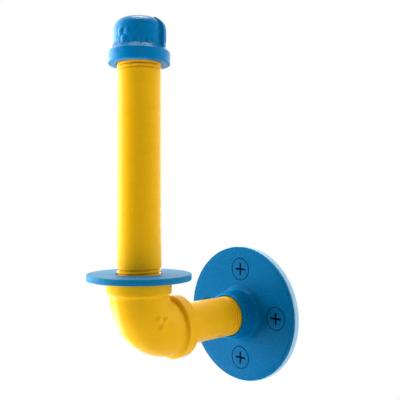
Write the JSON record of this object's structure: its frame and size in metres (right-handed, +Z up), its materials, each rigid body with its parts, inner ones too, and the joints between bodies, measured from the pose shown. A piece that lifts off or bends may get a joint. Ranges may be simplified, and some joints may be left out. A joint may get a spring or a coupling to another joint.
{
  "type": "toilet paper holder",
  "caption": "Wall-mounted upright toilet paper holder made of painted pipe fittings: round flange, short arm, elbow, support disc, post and end cap.",
  "frame": {"origin": "centre of the flange's wall face", "axes": "+Y into the wall, -Y out into the room along the arm, +Z up along the post, +X to the right for someone facing the wall"},
  "size_m": [0.0758, 0.1186, 0.1894],
  "materials": {
    "flange_paint": "satin powder coat on cast iron",
    "screw_paint": "satin paint on the heads, bare zinc-plated steel behind them",
    "pipe_paint": "satin powder coat on steel pipe",
    "elbow_paint": "satin powder coat on cast iron",
    "disc_paint": "satin powder coat on steel plate",
    "cap_paint": "satin powder coat on cast iron"
  },
  "bodies": {
    "holder": {"wall_flange": "flange_paint", "wall_screws": "screw_paint", "arm_nipple": "pipe_paint", "elbow": "elbow_paint", "post_pipe": "pipe_paint"},
    "disc": {"support_disc": "disc_paint"},
    "cap": {"end_cap": "cap_paint"}
  },
  "joints": [
    {"name": "disc_spin", "type": "hinge", "parent": "holder", "child": "disc", "pos_m": [0, -0.078, 0.027], "axis": [0, 0, 1], "continuous": true},
    {"name": "cap_lift", "type": "slide", "parent": "holder", "child": "cap", "axis": [0, 0, 1], "range_m": [0, 0.03]}
  ]
}
